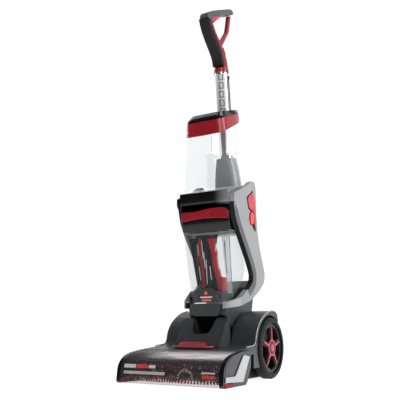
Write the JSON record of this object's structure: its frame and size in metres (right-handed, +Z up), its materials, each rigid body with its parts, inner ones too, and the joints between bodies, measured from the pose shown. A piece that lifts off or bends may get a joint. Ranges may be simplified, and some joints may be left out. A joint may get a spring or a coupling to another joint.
{
  "type": "upright carpet cleaner",
  "caption": "Upright carpet cleaner with a wheeled brush foot, a clear lower tank in a bent frame, a clear upper tank with a red cap, and a leaning loop handle.",
  "frame": {"origin": "middle of the machine's footprint on the floor: halfway across, and halfway from the nozzle's front to the recline pedal's rear tip", "axes": "+Z up, -Y towards the nozzle's front, +X to the right seen from the front; X = 0 is the machine's middle plane"},
  "size_m": [0.308, 0.398, 1.1276],
  "materials": {
    "graphite_plastic": "fine moulded texture",
    "gloss_black": "polished",
    "black_plastic": "fine moulded texture",
    "silver_plastic": "metallic flake paint",
    "bright_plastic": "metallic flake paint",
    "crimson_plastic": "satin gloss",
    "rose_plastic": "satin gloss",
    "brush_bristle": "nylon bristle",
    "orange_plastic": "satin gloss",
    "clear_plastic": "polished clear moulding",
    "smoke_plastic": "satin",
    "grip_rubber": "fine grained overmould",
    "tyre_rubber": "soft tread",
    "chrome_tube": "polished",
    "steel": "turned",
    "motor_casting": "cast"
  },
  "bodies": {
    "foot": {"foot_chassis": "black_plastic", "foot_cover": "graphite_plastic", "nozzle_end_cap_right": "black_plastic", "nozzle_end_cap_left": "black_plastic", "side_chevron_right": "bright_plastic", "side_chevron_left": "bright_plastic", "edge_brush_right": "brush_bristle", "edge_brush_left": "brush_bristle", "spray_bar": "black_plastic", "drive_belt": "grip_rubber", "brush_motor": "motor_casting", "floor_duct": "black_plastic", "main_axle": "steel"},
    "nozzle_window": {"nozzle_window": "clear_plastic", "suction_baffle": "clear_plastic"},
    "nozzle_latch": {"nozzle_latch": "crimson_plastic"},
    "front_roll": {"front_brush_roll": "brush_bristle"},
    "rear_roll": {"rear_brush_roll": "brush_bristle"},
    "motor_pulley": {"motor_pulley": "steel"},
    "recline_pedal": {"recline_pedal": "graphite_plastic"},
    "wheel_right": {"tyre_right": "tyre_rubber", "wheel_rim_right": "graphite_plastic", "wheel_star_right": "rose_plastic"},
    "wheel_left": {"tyre_left": "tyre_rubber", "wheel_rim_left": "graphite_plastic", "wheel_star_left": "rose_plastic"},
    "upright": {"trunk_housing": "graphite_plastic", "trunk_back_cover": "graphite_plastic", "tank_seat_band": "graphite_plastic", "frame_arm_right": "silver_plastic", "frame_arm_left": "silver_plastic", "side_accent_right": "rose_plastic", "side_accent_left": "rose_plastic", "upper_housing": "gloss_black", "rear_cover": "black_plastic", "cord_gland": "grip_rubber", "vacuum_motor": "motor_casting", "water_pump": "black_plastic", "inline_heater": "motor_casting", "tube_socket": "smoke_plastic", "handle_tube": "chrome_tube", "handle_frame": "crimson_plastic", "handle_grip": "grip_rubber", "handle_top_bar": "graphite_plastic"},
    "mode_button": {"mode_button": "orange_plastic"},
    "power_switch": {"power_switch": "crimson_plastic"},
    "heat_switch": {"heat_switch": "crimson_plastic"},
    "clean_tank": {"clean_tank": "clear_plastic"},
    "clean_tank_cap": {"clean_tank_band": "crimson_plastic", "clean_tank_cap": "gloss_black"},
    "dirty_tank": {"dirty_tank": "clear_plastic", "inlet_duct": "crimson_plastic", "separator_spine": "black_plastic", "float_guide": "steel"},
    "tank_lid": {"tank_lid": "gloss_black"},
    "tank_latch": {"tank_latch": "crimson_plastic"},
    "float": {"float": "crimson_plastic"},
    "trigger": {"trigger": "rose_plastic"},
    "cord_hook": {"cord_hook_upper": "crimson_plastic"}
  },
  "joints": [
    {"name": "recline", "type": "hinge", "parent": "foot", "child": "upright", "pos_m": [0, 0.106, 0.081], "axis": [-1, 0, 0], "range_deg": [0, 60]},
    {"name": "wheel_right_spin", "type": "hinge", "parent": "foot", "child": "wheel_right", "pos_m": [0.128, 0.106, 0.081], "axis": [1, 0, 0], "continuous": true},
    {"name": "wheel_left_spin", "type": "hinge", "parent": "foot", "child": "wheel_left", "pos_m": [-0.128, 0.106, 0.081], "axis": [1, 0, 0], "continuous": true},
    {"name": "rear_roll_spin", "type": "hinge", "parent": "foot", "child": "rear_roll", "pos_m": [0, -0.108, 0.026], "axis": [1, 0, 0], "continuous": true},
    {"name": "front_roll_spin", "type": "hinge", "parent": "foot", "child": "front_roll", "pos_m": [0, -0.156, 0.026], "axis": [1, 0, 0], "continuous": true},
    {"name": "motor_pulley_spin", "type": "hinge", "parent": "foot", "child": "motor_pulley", "pos_m": [-0.13, -0.04, 0.04], "axis": [1, 0, 0], "continuous": true},
    {"name": "pedal_press", "type": "hinge", "parent": "foot", "child": "recline_pedal", "pos_m": [-0.086, 0.156, 0.032], "axis": [-1, 0, 0], "range_deg": [0, 15], "stiffness_Nm_per_rad": 0.6, "springref_deg": -5.73},
    {"name": "latch_slide", "type": "slide", "parent": "foot", "child": "nozzle_latch", "axis": [0, 1, 0], "range_m": [0, 0.006], "stiffness_N_per_m": 800, "springref_m": -0.002},
    {"name": "window_lift", "type": "slide", "parent": "foot", "child": "nozzle_window", "axis": [0, -0.6, 0.8], "range_m": [0, 0.12]},
    {"name": "clean_tank_lift", "type": "slide", "parent": "upright", "child": "clean_tank", "axis": [0, -0.8, 0.6], "range_m": [0, 0.2]},
    {"name": "cap_lift", "type": "slide", "parent": "clean_tank", "child": "clean_tank_cap", "axis": [0, -0.5, 0.866], "range_m": [0, 0.06]},
    {"name": "dirty_tank_slide", "type": "slide", "parent": "upright", "child": "dirty_tank", "axis": [0, -1, 0], "range_m": [0, 0.22]},
    {"name": "lid_slide", "type": "slide", "parent": "dirty_tank", "child": "tank_lid", "axis": [0, -1, 0], "range_m": [0, 0.13]},
    {"name": "tank_latch_pull", "type": "hinge", "parent": "tank_lid", "child": "tank_latch", "pos_m": [0, -0.0145, 0.4555], "axis": [-1, 0, 0], "range_deg": [0, 20], "stiffness_Nm_per_rad": 0.3, "springref_deg": -5.73},
    {"name": "float_rise", "type": "slide", "parent": "dirty_tank", "child": "float", "axis": [0, 0, 1], "range_m": [0, 0.03]},
    {"name": "mode_press", "type": "slide", "parent": "upright", "child": "mode_button", "axis": [-1, 0, 0], "range_m": [0, 0.003], "stiffness_N_per_m": 600, "springref_m": -0.001},
    {"name": "power_rocker", "type": "hinge", "parent": "upright", "child": "power_switch", "pos_m": [-0.024, 0.158, 0.508], "axis": [-1, 0, 0], "range_deg": [0, 12]},
    {"name": "heat_rocker", "type": "hinge", "parent": "upright", "child": "heat_switch", "pos_m": [0.024, 0.158, 0.508], "axis": [-1, 0, 0], "range_deg": [0, 12]},
    {"name": "trigger_pull", "type": "hinge", "parent": "upright", "child": "trigger", "pos_m": [0, 0.074, 1.075], "axis": [-1, 0, 0], "range_deg": [0, 7], "stiffness_Nm_per_rad": 1.5, "springref_deg": -5.73},
    {"name": "hook_swivel", "type": "hinge", "parent": "upright", "child": "cord_hook", "pos_m": [0, 0.0919, 0.9564], "axis": [0, 0.7833, 0.6216], "range_deg": [0, 180]}
  ],
  "couplings": [
    {"joint": "front_roll_spin", "follows": "rear_roll_spin", "ratio": 1},
    {"joint": "motor_pulley_spin", "follows": "rear_roll_spin", "ratio": 1.5}
  ]
}
